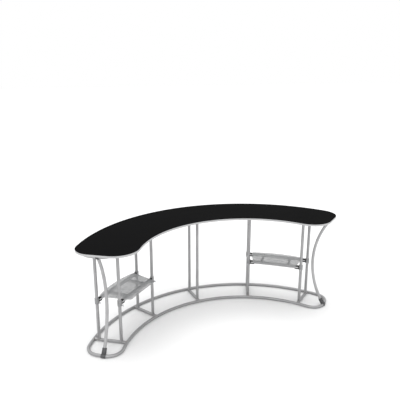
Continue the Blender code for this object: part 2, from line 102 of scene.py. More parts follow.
def arcPoints(centre, start, stop, count):
    # the first radius turned evenly to the last one, the short way round
    first, last = start - centre, stop - centre
    left = np.array([-first[1], first[0]])
    turn = np.linspace(0, math.atan2(left @ last, first @ last), count)
    return centre + np.outer(np.cos(turn), first) + np.outer(np.sin(turn), left)


def endFillet(ring, side, corner, normal, radius):
    # centre of the circle that touches a ring and the straight end line
    base = corner + normal * radius
    along = np.array([normal[1], -normal[0]])
    half = base @ along
    root = math.sqrt(half * half - base @ base + (ring + side * radius) ** 2)
    both = [base + along * (-half + root), base + along * (-half - root)]
    centre = min(both, key=lambda point: np.linalg.norm(point - corner))
    return centre, unit(centre) * ring, centre - normal * radius


class Crescent:
    # right half of an outline: two arcs, an end line and its two rounded corners
    def __init__(self, sizes, outer, inner, inset=0.0):
        far, near = circle(outer, sizes["endOuter"]), circle(inner, sizes["endInner"])
        line = unit(near - far)
        normal = np.array([line[1], -line[0]])
        self.normal = -normal if normal @ far > 0 else normal
        far, near = far + self.normal * inset, near + self.normal * inset
        self.outer, self.inner = outer - inset, inner + inset
        self.far = endFillet(self.outer, -1, far, self.normal, sizes["outerCorner"] - inset)
        self.near = endFillet(self.inner, 1, near, self.normal, sizes["innerCorner"] - inset)

        self.outerTurn = math.degrees(math.atan2(*self.far[1]))
        self.innerTurn = math.degrees(math.atan2(*self.near[1]))

    def end(self, cornerCount):
        return np.concatenate([arcPoints(self.far[0], self.far[1], self.far[2], cornerCount),
                               arcPoints(self.near[0], self.near[2], self.near[1], cornerCount)])

    def seatPath(self, before, count):
        # the end line's last stretch, then the inner corner that it runs into
        line = unit(self.near[2] - self.far[2])
        return np.concatenate([[self.near[2] - line * before],
                               arcPoints(self.near[0], self.near[2], self.near[1], count)])


def mirrored(points):
    return points * np.array([-1.0, 1.0])


def worktopOutline(inset):
    # closed outline, anticlockwise from above, with the same number of points at any inset
    half = Crescent(counter, counter["outerRadius"], counter["innerRadius"], inset)
    end, arc = half.end(22), np.linspace(-1, 1, 113)[1:-1]
    outer = circle(half.outer, half.outerTurn * arc)
    inner = circle(half.inner, -half.innerTurn * arc)
    return np.concatenate([outer, end, inner, mirrored(end)[::-1]])[::-1]


# mesh pieces made of grids of points
class Way:
    # a path read at any distance: its centre and two directions across it
    def __init__(self, points, across):
        points = np.asarray(points, float)
        self.points = points
        steps = np.linalg.norm(np.diff(points, axis=0), axis=1)
        self.mark = np.concatenate([[0.0], np.cumsum(steps)])
        self.tangent = unit(np.gradient(points, self.mark, axis=0))
        self.across = np.asarray(across, float)

    def read(self, table, distance):
        return np.stack([np.interp(distance, self.mark, table[:, axis]) for axis in range(3)], -1)

    def at(self, distance):
        tangent = unit(self.read(self.tangent, distance))
        second = unit(self.across - tangent * (tangent @ self.across)[..., None])
        return self.read(self.points, distance), np.cross(second, tangent), second


def ringsAlong(way, distance, radius, sides):
    # centre plus radius times (first across by cosine plus second across by sine)
    turn = fullTurn(sides)[:, None]
    distance, radius = [part if part.ndim == 2 else np.repeat(part[:, None], sides, 1)
                        for part in (np.asarray(distance, float), np.asarray(radius, float))]
    centre, first, second = way.at(distance)
    return centre + radius[..., None] * (first * np.cos(turn) + second * np.sin(turn))


def sectionAlong(way, distance, section):
    # centre plus the section's two coordinates along the two across directions
    centre, first, second = way.at(np.asarray(distance, float))
    return centre[:, None] + first[:, None] * section[:, :1] + second[:, None] * section[:, 1:]


def roundedLoop(width, height, radius, steps=4):
    # anticlockwise rectangle about the middle, each corner a quarter circle
    turn = np.radians(np.linspace(0, 90, steps + 1) + np.array([[0], [90], [180], [270]]))
    signs = np.array([[1, 1], [-1, 1], [-1, -1], [1, -1]])
    corner = signs * (np.array([width, height]) / 2 - radius)
    return (corner[:, None] + rim(turn, radius)).reshape(-1, 2)


def insetPolygon(points, distance):
    # each point moved in along the mean of its two sides' normals
    after = unit(np.roll(points, -1, 0) - points)
    after = np.stack([-after[:, 1], after[:, 0]], -1)
    mean = unit(np.roll(after, 1, 0) + after)
    stretch = np.clip(np.sum(mean * after, -1, keepdims=True), 0.5, 1)
    return points + mean * distance / stretch


class Piece:
    # gathers grids into one mesh; rows run along, columns run around, faces out
    def __init__(self, name):
        self.name, self.points, self.faces, self.uvs, self.total = name, [], [], [], 0

    def add(self, grid, wrapRows=False, wrapColumns=True, start=None, stop=None,
            around=None, along=None):
        rows, columns = grid.shape[:2]
        i = np.arange(rows if wrapRows else rows - 1)[:, None]
        j = np.arange(columns if wrapColumns else columns - 1)[None]
        below, above, right = i * columns, (i + 1) % rows * columns, (j + 1) % columns
        cells = np.stack([below + j, below + right, above + right, above + j], -1).reshape(-1, 4)
        self.faces += (cells + self.total).tolist()
        u = np.zeros(columns + 1) if around is None else around
        v = np.zeros((rows + 1, 1)) if along is None else along
        v = np.concatenate([v, v[:1]]) if len(v) == rows else v
        v = np.broadcast_to(v, (rows + 1, columns + 1))
        corners = [(0, 0), (0, 1), (1, 1), (1, 0)]
        uv = np.stack([np.stack(np.broadcast_arrays(u[j + across], v[i + rise, j + across]), -1)
                       for rise, across in corners], 2)
        self.uvs.append(uv.reshape(-1, 2))
        self.points.append(grid.reshape(-1, 3))
        base = self.total
        for edge, pole, turned in ((0, start, True), (rows - 1, stop, False)):
            if pole is None:
                continue
            ring = np.arange(columns) + edge * columns + base
            ring = ring[::-1] if turned else ring
            if isinstance(pole, str):
                self.faces.append(ring.tolist())
                self.uvs.append(np.tile([0.0, v[edge, 0]], (columns, 1)))
            else:
                tip = self.total + rows * columns
                self.points.append(np.asarray(pole, float)[None])
                fan = np.stack([ring, np.roll(ring, -1), np.full(columns, tip)], -1)
                self.faces += fan.tolist()
                self.uvs.append(np.tile([0.0, v[edge, 0]], (3 * columns, 1)))
                self.total += 1
        self.total += rows * columns

    def mesh(self):
        mesh = bpy.data.meshes.new(self.name)
        mesh.from_pydata(np.concatenate(self.points).tolist(), [], self.faces)
        layer = mesh.uv_layers.new(name="metres")
        layer.data.foreach_set("uv", np.concatenate(self.uvs).astype(np.float32).ravel())
        mesh.update()
        return mesh


def choose(mesh, test):
    # the second finish goes on the faces whose normal's upward part passes the test
    normals = np.zeros(len(mesh.polygons) * 3)
    mesh.polygons.foreach_get("normal", normals)
    mesh.polygons.foreach_set("material_index", test(normals[2::3]).astype(np.int32))


def linked(name, data):
    made = bpy.data.objects.new(name, data)
    bpy.context.scene.collection.objects.link(made)
    return made


def show(name, mesh, finishes, body, nodes=(), sharp=38):
    # an object at the origin that rides on a body and stands for its CAD nodes
    mesh.name = name
    mesh.materials.clear()
    for finish in finishes:
        mesh.materials.append(finish)
    mesh.shade_smooth()
    mesh.set_sharp_from_angle(angle=math.radians(sharp))
    shown = linked(name, mesh)
    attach(shown, body)
    if nodes:
        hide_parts(*nodes)


def showTube(piece, node, metal):
    show(piece.name, piece.mesh(), [metal], "counter", [node])


def combined(mesh, others, operation="UNION"):
    # exact boolean of closed meshes; the helpers go and one closed mesh is left
    scratch = [linked("scratch", part) for part in (mesh, *others)]
    for part in scratch[1:]:
        modifier = scratch[0].modifiers.new("step", "BOOLEAN")
        modifier.operation, modifier.solver, modifier.object = operation, "EXACT", part
        modifier.use_self = False
    bpy.context.view_layer.update()
    graph = bpy.context.evaluated_depsgraph_get()
    made = bpy.data.meshes.new_from_object(scratch[0].evaluated_get(graph))
    for part in scratch:
        bpy.data.objects.remove(part, do_unlink=True)
    return made


def axesMatrix(across, second, third, origin):
    return Matrix([*zip(across, second, third, origin), (0, 0, 0, 1)])


def moved(mesh, across, second, third, origin):
    # a copy whose own x, y, z run along three directions from an origin
    copy = mesh.copy()
    copy.transform(axesMatrix(across, second, third, origin))
    copy.update()
    return copy


# finishes
class Wire:
    # one output socket; arithmetic on it adds Math nodes
    def __init__(self, finish, socket):
        self.finish, self.socket = finish, socket

    def maths(self, operation, first, second=0.0):
        return self.finish.node("ShaderNodeMath", {"operation": operation}, {0: first, 1: second})

    def __add__(self, other):
        return self.maths("ADD", self, other)

    def __sub__(self, other):
        return self.maths("SUBTRACT", self, other)

    def __rsub__(self, other):
        return self.maths("SUBTRACT", other, self)

    def __mul__(self, other):
        return self.maths("MULTIPLY", self, other)

    __radd__, __rmul__ = __add__, __mul__


class Finish:
    def __init__(self, name, metal=0.0, shine=0.5):
        self.material = bpy.data.materials.new(name)
        self.material.use_nodes = True
        self.tree = self.material.node_tree
        self.shader = self.tree.nodes["Principled BSDF"]
        self.shader.inputs["Metallic"].default_value = metal
        self.shader.inputs["Specular IOR Level"].default_value = shine

    def node(self, kind, settings, sockets, output=0):
        made = self.tree.nodes.new(kind)
        for name, value in settings.items():
            setattr(made, name, value)
        for name, value in sockets.items():
            if isinstance(value, Wire):
                self.tree.links.new(value.socket, made.inputs[name])
            else:
                made.inputs[name].default_value = value
        return Wire(self, made.outputs[output])

    def where(self, stretch=None):
        # metres in the piece's own axes, multiplied where a pattern is drawn out
        place = self.node("ShaderNodeTexCoord", {}, {}, "Object")
        if stretch is None:
            return place
        return self.node("ShaderNodeVectorMath", {"operation": "MULTIPLY"}, {0: place, 1: stretch})

    def uv(self):
        both = self.node("ShaderNodeUVMap", {"uv_map": "metres"}, {})
        return [self.node("ShaderNodeSeparateXYZ", {}, {0: both}, axis) for axis in (0, 1)]

    def noise(self, scale, detail=3.0, rough=0.5, stretch=None, vector=None):
        sockets = {"Scale": scale, "Detail": detail, "Roughness": rough}
        sockets["Vector"] = vector or self.where(stretch)
        return self.node("ShaderNodeTexNoise", {}, sockets)

    def cells(self, scale):
        return self.node("ShaderNodeTexVoronoi", {}, {"Vector": self.where(), "Scale": scale})

    def between(self, value, low, high, start=0.0, stop=1.0):
        sockets = {"Value": value, "From Min": low, "From Max": high, "To Min": start,
                   "To Max": stop}
        return self.node("ShaderNodeMapRange", {"clamp": True}, sockets)

    def blend(self, factor, first, second):
        first, second = [part if isinstance(part, Wire) else (*part, 1.0)
                         for part in (first, second)]
        sockets = {0: factor, 6: first, 7: second}
        return self.node("ShaderNodeMix", {"data_type": "RGBA"}, sockets, 2)

    def link(self, socket, value):
        self.tree.links.new(value.socket, self.shader.inputs[socket])

    def made(self, colour, roughness, height, depth, strength):
        relief = {"Height": height, "Distance": depth, "Strength": strength}
        self.link("Base Color", colour)
        self.link("Roughness", roughness)
        self.link("Normal", self.node("ShaderNodeBump", {}, relief))
        return self.material


def grey(level):
    # a neutral with a trace of blue
    return (level, level, level + 0.005)


def drawnAluminium(name, dark, light, metal, roughness):
    # drawn tube: fine lines along its length, cloudy anodising and handled patches
    look = Finish(name, metal=metal, shine=0.35)
    u, v = look.uv()
    turn = u * (1 / loop["tube"])
    cosine, sine = turn.maths("COSINE", turn), turn.maths("SINE", turn)
    around = look.node("ShaderNodeCombineXYZ", {}, {0: cosine * 16, 1: sine * 16, 2: v * 5})
    lines = look.noise(1.0, 3.0, vector=around)
    clouds = look.noise(7.0, 4.0)
    handled = look.between(look.noise(2.6, 5.0, 0.6), 0.52, 0.68)
    tone = look.between(lines * 0.45 + clouds * 0.55, 0.32, 0.68)
    return look.made(look.blend(tone, dark, light),
                     roughness + lines * 0.12 + handled * 0.07, lines, 0.00025, 0.35)


def weldBead():
    # rippled bead: duller than the tube, with a faint straw tint from the heat
    look = Finish("weldBead", metal=0.8, shine=0.35)
    clouds = look.noise(160.0, 4.0)
    tint = look.between(look.noise(30.0, 2.0), 0.42, 0.62)
    return look.made(look.blend(tint, look.blend(clouds, grey(0.20), (0.42, 0.42, 0.42)),
                                (0.34, 0.31, 0.27)),
                     0.36 + clouds * 0.22, look.noise(900.0, 3.0), 0.0002, 0.5)


def blackLaminate():
    # high pressure laminate: fine pebbled grain, faint wipe marks and a few dull scuffs
    look = Finish("blackLaminate", shine=0.005)
    grain = look.noise(720.0, 3.0)
    pebbles = look.cells(520.0)
    wiped = look.noise(1.7, 5.0, 0.62, stretch=(1.0, 3.2, 1.0))
    scuffs = look.between(look.noise(1.0, 6.0, 0.7, stretch=(30.0, 4.0, 1.0)), 0.63, 0.74)
    flecks = look.between(look.cells(90.0), 0.0, 0.10, 1.0, 0.0)
    tone = look.blend(look.between(wiped, 0.3, 0.7), (0.0038, 0.0038, 0.0040),
                      (0.0056, 0.0056, 0.0058))
    return look.made(look.blend(scuffs * 0.35 + flecks * 0.15, tone, (0.014, 0.014, 0.0145)),
                     look.between(wiped, 0.3, 0.7, 0.50, 0.64) + scuffs * 0.10,
                     grain * 0.5 + pebbles * 0.5, 0.00018, 0.45)


def backingSheet():
    # balancing sheet under the board: matt, with sanding lines and pale dust
    look = Finish("backingSheet", shine=0.2)
    sanded = look.noise(1.0, 3.0, stretch=(300.0, 12.0, 300.0))
    dust = look.between(look.noise(5.0, 6.0, 0.65), 0.45, 0.75)
    tone = look.blend(sanded, (0.020, 0.019, 0.018), (0.032, 0.031, 0.029))
    return look.made(look.blend(dust * 0.3, tone, (0.09, 0.088, 0.083)),
                     0.68 + sanded * 0.16, sanded, 0.0001, 0.4)


def paleEdging():
    # lipping strip: silver grey, drawn lines along it, small knocks that show darker
    look = Finish("paleEdging", shine=0.4)
    drawn = look.noise(1.0, 2.0, stretch=(3.0, 3.0, 1500.0))
    clouds = look.noise(6.0, 4.0)
    knocks = look.between(look.noise(55.0, 5.0, 0.7), 0.66, 0.74)
    tone = look.blend(look.between(drawn * 0.4 + clouds * 0.6, 0.35, 0.65), grey(0.40), grey(0.46))
    return look.made(look.blend(knocks * 0.35, tone, grey(0.26)),
                     0.36 + drawn * 0.14 + knocks * 0.15, drawn, 0.0001, 0.35)


def shelfAluminium(name, dark, light):
    # box section: brushed along the shelf, cloudy, with dull rubbed patches
    look = Finish(name, metal=0.55, shine=0.4)
    brushed = look.noise(1.0, 3.0, stretch=(18.0, 18.0, 1300.0))
    clouds = look.noise(9.0, 4.0)
    rubbed = look.between(look.noise(14.0, 5.0, 0.65), 0.56, 0.72)
    tone = look.between(brushed * 0.5 + clouds * 0.5, 0.33, 0.67)
    return look.made(look.blend(tone, dark, light),
                     0.34 + brushed * 0.14 + rubbed * 0.10, brushed, 0.00012, 0.4)


def frostedSheet(name, clear, cloudy, body):
    # etched sheet: an even sparkle, cloudier patches, light rub marks; partly see through
    look = Finish(name, shine=0.5)
    sparkle = look.noise(850.0, 2.0)
    patches = look.noise(11.0, 4.0, 0.6)
    rubs = look.between(look.noise(1.0, 5.0, 0.7, stretch=(60.0, 9.0, 1.0)), 0.60, 0.74)
    cover = look.between(sparkle * 0.35 + patches * 0.65, 0.3, 0.7, clear, cloudy)
    look.link("Alpha", cover + rubs * 0.03)
    paler = [part * 1.18 for part in body]
    return look.made(look.blend(look.between(patches, 0.3, 0.7), body, paler),
                     0.38 + sparkle * 0.20, sparkle, 0.0001, 0.5)


def mouldedNylon(name, dark, light, roughness, shine=0.4):
    # moulded nylon: spark eroded grain, faint flow marks, scuffed high spots
    look = Finish(name, shine=shine)
    grain = look.noise(1500.0, 3.0)
    flow = look.noise(1.0, 3.0, stretch=(20.0, 20.0, 60.0))
    scuffs = look.between(look.noise(120.0, 5.0, 0.7), 0.62, 0.72)
    tone = look.blend(look.between(flow, 0.35, 0.65), dark, light)
    return look.made(look.blend(scuffs * 0.4, tone, [part * 2.2 for part in light]),
                     roughness + grain * 0.16 + scuffs * 0.08, grain, 0.00015, 0.6)


def castGrey():
    # die cast collar: orange peel of a powder coat and soft mottling
    look = Finish("castGrey", metal=0.35, shine=0.4)
    peel = look.cells(700.0)
    mottle = look.noise(80.0, 4.0)
    return look.made(look.blend(look.between(mottle, 0.3, 0.7), grey(0.25), grey(0.34)),
                     0.42 + mottle * 0.14, peel, 0.00012, 0.5)


def zincSteel():
    # bright zinc plate: pale blue grey with soft spangle and dull wear
    look = Finish("zincSteel", metal=0.9, shine=0.5)
    spangle = look.cells(420.0)
    worn = look.between(look.noise(260.0, 4.0), 0.5, 0.7)
    return look.made(look.blend(spangle, (0.50, 0.51, 0.53), (0.68, 0.68, 0.69)),
                     0.24 + spangle * 0.10 + worn * 0.18, spangle, 0.00008, 0.4)


tubeMetal = drawnAluminium("satinAluminium", grey(0.30), grey(0.40), 0.6, 0.34)
braceMetal = drawnAluminium("braceAluminium", grey(0.34), grey(0.44), 0.6, 0.32)
weldMetal = weldBead()
topLaminate, underSheet, edgeStrip = blackLaminate(), backingSheet(), paleEdging()
barMetal = shelfAluminium("shelfAluminium", grey(0.42), grey(0.56))
sheetFace = frostedSheet("frostedSheet", 0.54, 0.60, (0.40, 0.405, 0.41))
sheetEdge = frostedSheet("frostedEdge", 0.86, 0.94, (0.40, 0.41, 0.42))
clipNylon = mouldedNylon("darkNylon", (0.055, 0.055, 0.058), (0.085, 0.085, 0.088), 0.40)
jawNylon = mouldedNylon("blackNylon", (0.006, 0.006, 0.006), (0.011, 0.011, 0.011), 0.48, 0.15)
collarCast, screwSteel = castGrey(), zincSteel()
print("finishes: made", len(bpy.data.materials))

# worktop: the outline moved in and up through a profile with eased edges
worktop = {"arris": 0.0006, "gap": 0.0003, "bandRound": 0.0008, "inside": 0.0006}


def buildWorktop():
    ease, start = worktop["arris"], counter["band"] + worktop["gap"]
    profile = [(start + 2 * ease, boardUnder), (start + ease, boardUnder),
               (start, boardUnder + ease), (start, boardTop - ease),
               (start + 0.3 * ease, boardTop - 0.3 * ease), (start + ease, boardTop),
               (start + 2 * ease, boardTop)]
    rows = np.stack([placed(worktopOutline(inset), level) for inset, level in profile])
    board = Piece("worktopBoard")
    board.add(rows, start="flat", stop="flat")
    mesh = board.mesh()
    # the lower cap, the last face but one, takes the backing sheet
    mesh.polygons[-2].material_index = 1
    show("worktopBoard", mesh, [topLaminate, underSheet], "counter",
         ["worktop_board"])
    width, height = counter["band"], boardTop - boardUnder
    section = roundedLoop(width, height, worktop["bandRound"], 3)
    inside, middle = worktop["inside"] + width / 2, boardUnder + height / 2
    rows = [placed(worktopOutline(inside - across), middle + rise)
            for across, rise in section * np.array([1 - worktop["inside"] / width, 1.0])]
    band = Piece("worktopEdging")
    band.add(np.stack(rows), wrapRows=True)
    mesh = band.mesh()
    choose(mesh, lambda rise: rise > 0.6)
    show("worktopEdging", mesh, [edgeStrip, topLaminate], "counter",
         ["worktop_edging"])


buildWorktop()
print("worktop: board and edging")


# the two loops of tube
def tubeEnd(kind):
    # distance inwards from the joint and radius, from the middle of the bore or plug outwards
    radius, seam, ease = loop["tube"], loop["seam"], loop["ease"]
    plug, deep, bore = loop["spigot"], loop["spigotLength"], loop["spigot"] + loop["slack"]
    if kind == "socket":
        rows = [(deep, bore * 0.5), (deep, bore), (seam + ease, bore), (seam, bore + ease / 2)]
    else:
        rows = [(-deep, plug * 0.5), (-deep, plug - ease), (-deep + ease, plug), (seam, plug)]
    return np.array(rows + [(seam, radius - ease), (seam + ease, radius)])


def tubeProfile(length, startEnd, stopEnd, steps):
    # distance and radius from one joint to the other, the last end mirrored
    inset = loop["seam"] + 2 * loop["ease"]
    body = [(distance, loop["tube"]) for distance in np.linspace(inset, length - inset, steps)]
    last = (tubeEnd(stopEnd) * [-1, 1] + [length, 0])[::-1]
    return np.concatenate([tubeEnd(startEnd), body, last])


def addTube(piece, way, offset, profile, sides=loop["sides"]):
    distance, radius = profile.T
    grid = ringsAlong(way, distance + offset, radius, sides)
    around = np.linspace(0, 2 * math.pi * loop["tube"], sides + 1)
    ends = way.at(distance[[0, -1]] + offset)[0]
    piece.add(grid, start=ends[0], stop=ends[1], around=around, along=distance[:, None])


def buildRail(name, node, radius, start, stop, level, startEnd, stopEnd):
    spare = math.degrees(loop["spare"] / radius)
    way = Way(polar(radius, np.arange(start - spare, stop + spare + 0.125, 0.25), level), up)
    length = math.radians(stop - start) * radius
    rail = Piece(name)
    steps = max(8, round((stop - start) / 0.75))
    addTube(rail, way, loop["spare"], tubeProfile(length, startEnd, stopEnd, steps))
    showTube(rail, node, tubeMetal)


def buildHoop(name, node, sign, level):
    half = Crescent(loop, loop["outer"], loop["inner"])
    spare, splice, count = loop["spare"], loop["hoopSplice"], 60
    early = [splice - math.degrees(spare / radius) for radius in (half.outer, half.inner)]
    first = circle(half.outer, np.linspace(early[0], half.outerTurn, 40))
    last = circle(half.inner, np.linspace(half.innerTurn, early[1], 40))
    corners = half.end(count)
    straight = np.linspace(corners[count - 1], corners[count], 12)
    plan = np.concatenate([first[:-1], corners[:count - 1], straight, corners[count + 1:],
                           last[1:]])
    plan = plan if sign > 0 else mirrored(plan)
    way = Way(placed(plan, level), up)
    length = way.mark[-1] - 2 * spare
    hoop = Piece(name)
    addTube(hoop, way, spare, tubeProfile(length, "spigot", "spigot", 150))
    showTube(hoop, node, tubeMetal)


def buildLoops():
    splice, middle = loop["hoopSplice"], loop["middleSplice"]
    for tier, level in (("base", baseLevel), ("top", topLevel)):
        for line in ("outer", "inner"):
            stem, title = f"{tier}_rail_{line}", f"{tier}Rail{line.title()}"
            for place, start, stop, end in (("left", -splice, middle, "spigot"),
                                            ("right", middle, splice, "socket")):
                buildRail(title + place.title(), f"{stem}_{place}", loop[line], start, stop,
                          level, "socket", end)
        for place, sign in (("left", -1), ("right", 1)):
            buildHoop(f"{tier}Hoop{place.title()}", f"{tier}_end_hoop_{place}", sign, level)


buildLoops()
print("loops: rails and hoops")

# crossbars and posts: tubes whose ends are shaped to the tube that they meet
joints = {"postOuter": 1.464, "postInner": 1.240, "bead": 0.0021, "cusp": 0.0022, "ripples": 34,
          "ripple": 0.12, "clear": 0.0002}


def copedTube(piece, start, stop, across, sides=48):
    # an end's distance from the other tube's centre is root(radius squared minus offset squared)
    radius = loop["tube"]
    length = np.linalg.norm(stop - start)
    way = Way(np.stack([start, (start + stop) / 2, stop]), across)
    turn = fullTurn(sides)
    reach = np.sqrt(np.maximum(radius ** 2 - (radius * np.sin(turn)) ** 2, 0)) + 0.0001
    straight = np.linspace(radius + 0.003, length - radius - 0.003, max(2, int(length / 0.08)))
    straight = np.repeat(straight[:, None], sides, 1)
    distance = np.concatenate([reach[None], straight, (length - reach)[None]])
    grid = ringsAlong(way, distance, np.full(len(distance), radius), sides)
    axis = unit(stop - start)
    along = np.concatenate([distance, distance[:, :1]], 1)
    piece.add(grid, start=start + axis * radius, stop=stop - axis * radius,
              around=np.linspace(0, 2 * math.pi * radius, sides + 1), along=along)


def weldRing(piece, middle, axis, across):
    # a bead along the joint: its centre keeps to the tube's side while it climbs over the
    # other tube, and its thickness swells and shrinks evenly like overlapping puddles
    radius, count = loop["tube"], 4 * joints["ripples"]
    turn = fullTurn(count)
    first, second = np.cross(across, axis), across
    side = first * np.cos(turn)[:, None] + second * np.sin(turn)[:, None]
    climb = np.sqrt((radius * np.cos(turn)) ** 2 + joints["cusp"] ** 2)
    centre = middle + side * (radius + 0.0003) + axis * climb[:, None]
    tangent = unit(np.roll(centre, -1, 0) - np.roll(centre, 1, 0))
    outward = unit(side - tangent * np.sum(side * tangent, -1, keepdims=True))
    cross = np.cross(outward, tangent)
    thick = joints["bead"] * (1 + joints["ripple"] * np.sin(turn * joints["ripples"]))
    ring = rim(fullTurn(8)) @ np.stack([cross, outward], 1)
    bead = centre[:, None] + ring * thick[:, None, None]
    bead[..., 2] = np.clip(bead[..., 2], joints["clear"], boardUnder - joints["clear"])
    piece.add(bead, wrapRows=True)


def buildUprights():
    beads = {"base": Piece("weldsBase"), "top": Piece("weldsTop")}
    for number, turn in enumerate(counter["pairs"], 1):
        outward = level3(circle(1.0, turn))
        sideways = np.cross(up, outward)
        for tier, level in (("base", baseLevel), ("top", topLevel)):
            inner, outer = polar(loop["inner"], turn, level), polar(loop["outer"], turn, level)
            bar = Piece(f"{tier}Crossbar{number}")
            copedTube(bar, inner, outer, up)
            showTube(bar, f"{tier}_crossbar_{number}", tubeMetal)
            weldRing(beads[tier], inner, outward, up)
            weldRing(beads[tier], outer, -outward, up)
        for line in ("outer", "inner"):
            radius = joints["post" + line.title()]
            foot, head = polar(radius, turn, baseLevel), polar(radius, turn, topLevel)
            post = Piece(f"post{line.title()}{number}")
            copedTube(post, foot, head, sideways)
            showTube(post, f"post_{line}_{number}", tubeMetal)
            weldRing(beads["base"], foot, up, sideways)
            weldRing(beads["top"], head, -up, sideways)
    for tier in ("base", "top"):
        show(beads[tier].name, beads[tier].mesh(), [weldMetal], "counter",
             sharp=60)


buildUprights()
print("uprights: crossbars, posts and welds")

# bowed end braces and the clips that hold them
brace = {
    "bow": 0.149, "turn": 5.6, "footStart": 0.0168, "clipStart": 0.0172, "clipLength": 0.072,
    "clip": 0.0215, "head": 0.019, "headWidth": 0.026, "plugLength": 0.032, "footOpen": 26.0,
    "headOpen": 32.0, "round": 0.0013, "saddleGap": 0.0004, "clipBore": 0.0153, "spare": 0.03,
}


class Bow:
    # arc in an upright plane, from the loop where its end line meets the inner corner
    def __init__(self, sign):
        half = Crescent(loop, loop["outer"], loop["inner"])
        lean = math.radians(brace["turn"])
        cosine, sine = math.cos(lean), math.sin(lean)
        inwards = np.array([[cosine, sine], [-sine, cosine]]) @ half.normal
        path = half.seatPath(loop["spare"], 60)
        if sign < 0:
            inwards, path = mirrored(inwards), mirrored(path)
        self.path = path
        self.foot = placed(path[1], baseLevel)
        self.inwards = level3(inwards)
        self.railWay = np.cross(up, self.inwards)
        self.chord = topLevel - baseLevel
        self.radius = self.chord ** 2 / (8 * brace["bow"]) + brace["bow"] / 2
        self.half = math.asin(self.chord / 2 / self.radius)
        self.length = 2 * self.half * self.radius

    def at(self, distance):
        turn = self.half - np.asarray(distance) / self.radius
        height = self.chord / 2 - self.radius * np.sin(turn)
        bow = self.radius * (np.cos(turn) - math.cos(self.half))
        return self.foot + np.multiply.outer(bow, self.inwards) + np.multiply.outer(height, up)


def saddle(name, bow, level, inner, outer, width, start, stop):
    # a hooked section with round lips, swept along the bent tube past the seat
    middle, half = (inner + outer) / 2, (outer - inner) / 2
    turn = np.radians(np.linspace(start, stop, 45))
    hooked = rim(turn)
    lip = np.radians(np.linspace(0, 180, 9)[1:-1])
    lips = []
    for edge, sign in ((hooked[0], -1), (hooked[-1], 1)):
        ahead = np.array([-edge[1], edge[0]]) * sign
        lips.append(edge * middle + rim(lip, half) @ np.array([edge, ahead]))
    section = np.concatenate([lips[0][::-1], hooked * outer, lips[1], hooked[::-1] * inner])
    way, ease = Way(placed(bow.path, level), up), brace["round"]
    seat, rows = way.mark[1], []
    for side, steps in ((-1, (0.0, 0.3, 1.0)), (1, (1.0, 0.3, 0.0))):
        for step in steps:
            outline = insetPolygon(section, ease * (1 - step) * 0.6)
            distance = seat + side * (width / 2 - ease * step)
            rows.append(sectionAlong(way, [distance], outline)[0])
    piece = Piece(name)
    inside = sectionAlong(way, seat + width * np.linspace(-0.42, 0.42, 11), section)
    piece.add(np.stack([*rows[:3], *inside, *rows[3:]]), start="flat", stop="flat")
    return piece.mesh()


def sleeve(name, way, profile, sides=48):
    # a closed profile of distance and radius turned about the brace's own line
    piece = Piece(name)
    piece.add(ringsAlong(way, profile[:, 0], profile[:, 1], sides), wrapRows=True)
    return piece.mesh()


def buildBraces():
    for place, sign in (("left", -1), ("right", 1)):
        bow, title, spare = Bow(sign), place.title(), brace["spare"]
        way = Way(bow.at(np.linspace(-spare, bow.length + spare, 260)), bow.railWay)
        radius, ease, slack, pin = loop["tube"], loop["ease"], loop["slack"], loop["spigot"]
        bore, seat = pin + 0.0005, radius + brace["saddleGap"]
        first, last = brace["footStart"], bow.length - brace["head"] - slack
        socket = last - brace["plugLength"] - slack
        rows = [(first, radius * 0.5), (first, radius - ease), (first + ease, radius)]
        rows += [(mark, radius) for mark in np.linspace(first + 2 * ease, last - 2 * ease, 90)]
        rows += [(last - ease, radius), (last, radius - ease), (last, bore), (socket, bore),
                 (socket, bore * 0.5)]
        tube = Piece("endBrace" + title)
        addTube(tube, way, spare, np.array(rows))
        showTube(tube, "end_brace_" + place, braceMetal)

        # a slightly barrelled sleeve with one shallow groove and a rounded mouth
        start, stop = brace["clipStart"] + spare, brace["clipLength"] + spare
        clip, ring, lip, mouth = brace["clip"], brace["clipBore"], brace["round"], brace["footOpen"]
        small = clip - 0.0004
        outer = [(start, small), (start + 0.010, clip), (start + 0.020, clip),
                 (stop - 0.014, clip - 0.0003), (stop - 0.0125, clip - 0.0010),
                 (stop - 0.0110, clip - 0.0003), (stop - lip, small),
                 (stop - 0.3 * lip, small - 0.3 * lip), (stop, small - lip)]
        inner = [(stop, ring + 0.0008), (stop - 0.0008, ring), (start, ring)]
        hook = saddle("footSaddle", bow, baseLevel, seat, clip, 2 * clip, -mouth, 180 + mouth)
        foot = combined(sleeve("foot", way, np.array(outer + inner)), [hook])
        show("footClip" + title, foot, [clipNylon], "counter",
             ["brace_foot_clip_" + place])

        plugStop = bow.length - radius - 0.002
        plug = Piece("plug")
        profile = [(socket + slack, 0.005), (socket + slack, pin - 0.001),
                   (socket + slack + 0.001, pin), (plugStop, pin), (plugStop, 0.005)]
        addTube(plug, way, spare, np.array(profile), 32)
        mouth = brace["headOpen"]
        hook = saddle("headSaddle", bow, topLevel, seat, brace["head"], brace["headWidth"],
                      180 - mouth, 360 + mouth)
        show("headClip" + title, combined(hook, [plug.mesh()]), [clipNylon], "counter",
             ["brace_head_clip_" + place])


buildBraces()
print("braces: tubes and clips")

# shelves
shelf = {
    "level": 0.410, "bar": 0.025, "height": 0.0281, "sheet": 0.005, "front": 1.145, "back": 1.465,
    "frontBow": 0.004, "backBow": 0.040, "endGap": 0.045, "corner": 0.028, "stay": 0.148,
    "round": 0.0022, "ease": 0.0009, "lug": 0.0164, "lugWidth": 0.020, "lugRound": 0.0012,
    "lugStep": 0.001, "lugStart": 0.0258, "reach": 0.066,
}
collarLevel = shelf["level"] + shelf["lugStep"] + shelf["lug"] / 2


